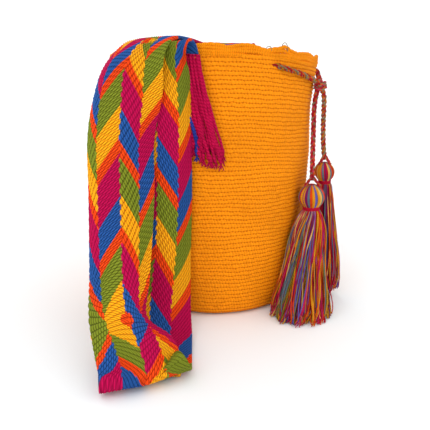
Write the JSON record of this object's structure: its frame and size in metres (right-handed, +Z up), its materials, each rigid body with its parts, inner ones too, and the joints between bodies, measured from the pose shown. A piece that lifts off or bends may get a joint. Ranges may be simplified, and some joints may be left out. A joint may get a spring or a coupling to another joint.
{
  "type": "crocheted bucket bag with a woven shoulder strap",
  "caption": "Round crocheted bucket bag that stands on its base, with a zigzag-patterned shoulder strap, a braided drawstring and yarn tassels.",
  "frame": {"origin": "centre of the round base, on the surface that the bag stands on", "axes": "+Z up, -Y is the front where the strap's loop lies, +X is the side where the tassels hang"},
  "size_m": [0.2596, 0.3484, 0.2847],
  "materials": {
    "bag_crochet": "matt cotton crochet in tight rounds, bright orange",
    "strap_weave": "ribbed ply-split band in magenta, blue, olive, gold and orange-red zigzags",
    "fringe_yarn": "loose twisted cotton yarn, magenta with a few blue ends",
    "sewing_thread": "matt cotton thread",
    "cord_braid": "braided cotton cord in crimson, orange, pink and olive-grey",
    "tassel_yarn": "variegated cotton yarn in crimson, orange, gold, violet and grey-teal",
    "binding_yarn": "wound cotton yarn"
  },
  "bodies": {
    "root": {"bag_body": "bag_crochet", "shoulder_strap": "strap_weave", "strap_fringe_front": "fringe_yarn", "strap_fringe_back": "fringe_yarn", "strap_seam_front": "sewing_thread", "strap_seam_back": "sewing_thread", "drawstring": "cord_braid", "tassel_front": "tassel_yarn", "tassel_rear": "tassel_yarn", "tassel_front_binding": "binding_yarn", "tassel_rear_binding": "binding_yarn"}
  },
  "joints": []
}
